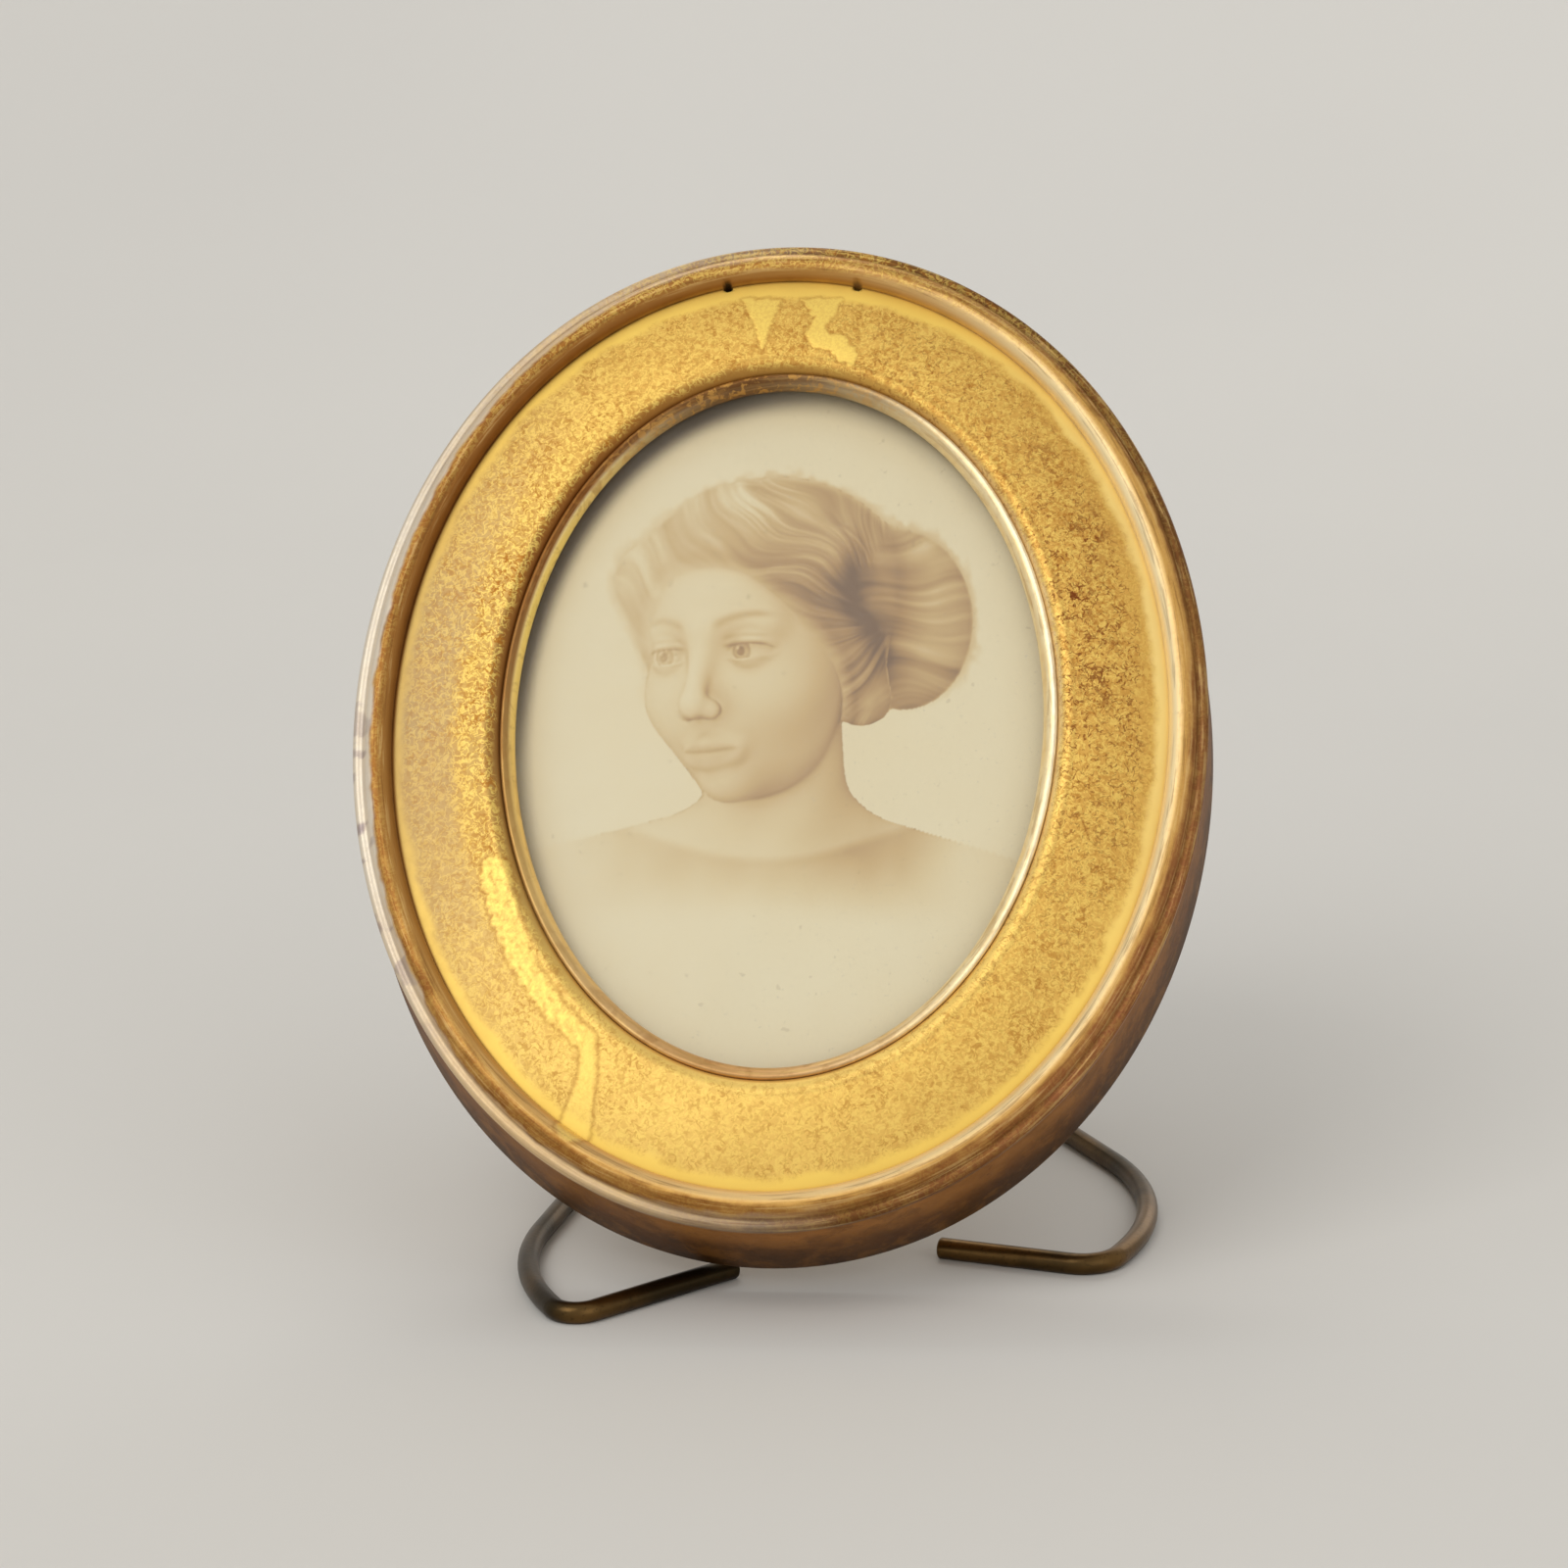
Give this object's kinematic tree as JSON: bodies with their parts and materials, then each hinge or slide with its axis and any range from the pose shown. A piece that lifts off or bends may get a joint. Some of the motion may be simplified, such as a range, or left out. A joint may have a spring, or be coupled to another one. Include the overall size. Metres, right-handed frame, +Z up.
{
  "type": "picture frame",
  "caption": "Oval pressed-brass picture frame with a broad panel, beaded rim and a sepia portrait under glass, tilting on a bent wire stand.",
  "frame": {"origin": "middle of the part's bounding box on the floor that the wire stand rests on", "axes": "+Z up, +X to the viewer's right, the picture faces -Y and leans back"},
  "size_m": [0.1045, 0.0852, 0.1161],
  "materials": {
    "gilt_brass": "worn gilt lacquer, speckled with tarnish",
    "bezel_brass": "worn gilt lacquer",
    "clear_glass": "polished",
    "print_paper": "faded sepia print",
    "grey_card": "rough",
    "pulp_board": "rough",
    "plain_brass": "dull, tarnished",
    "bronzed_wire": "dark bronzed, satin",
    "fibre": "pressed fibre"
  },
  "bodies": {
    "stand": {"wire_stand": "bronzed_wire"},
    "frame": {"back_plate": "plain_brass", "button_rivets": "plain_brass", "button_washers": "fibre", "cover_glass": "clear_glass", "frame_shell": "gilt_brass", "left_bar_strap": "plain_brass", "mount_card": "grey_card", "packing_boards": "pulp_board", "portrait_print": "print_paper", "right_bar_strap": "plain_brass", "sight_bezel": "bezel_brass", "strap_rivets": "plain_brass"},
    "turn_button_upper_right": {"turn_button_upper_right": "plain_brass"},
    "turn_button_upper_left": {"turn_button_upper_left": "plain_brass"},
    "turn_button_lower_left": {"turn_button_lower_left": "plain_brass"},
    "turn_button_lower_right": {"turn_button_lower_right": "plain_brass"}
  },
  "joints": [
    {"name": "frame_tilt", "type": "hinge", "parent": "stand", "child": "frame", "pos_m": [0, 0.01126, 0.06317], "axis": [-1, 0, 0], "range_deg": [0, 50]},
    {"name": "turn_button_upper_right_swivel", "type": "hinge", "parent": "frame", "child": "turn_button_upper_right", "pos_m": [0.02983, 0.02772, 0.08869], "axis": [0, -0.829, 0.5592], "range_deg": [-90, 90]},
    {"name": "turn_button_upper_left_swivel", "type": "hinge", "parent": "frame", "child": "turn_button_upper_left", "pos_m": [-0.02983, 0.02772, 0.08869], "axis": [0, -0.829, 0.5592], "range_deg": [-90, 90]},
    {"name": "turn_button_lower_left_swivel", "type": "hinge", "parent": "frame", "child": "turn_button_lower_left", "pos_m": [-0.02983, -0.0163, 0.02344], "axis": [0, -0.829, 0.5592], "range_deg": [-90, 90]},
    {"name": "turn_button_lower_right_swivel", "type": "hinge", "parent": "frame", "child": "turn_button_lower_right", "pos_m": [0.02983, -0.0163, 0.02344], "axis": [0, -0.829, 0.5592], "range_deg": [-90, 90]}
  ]
}
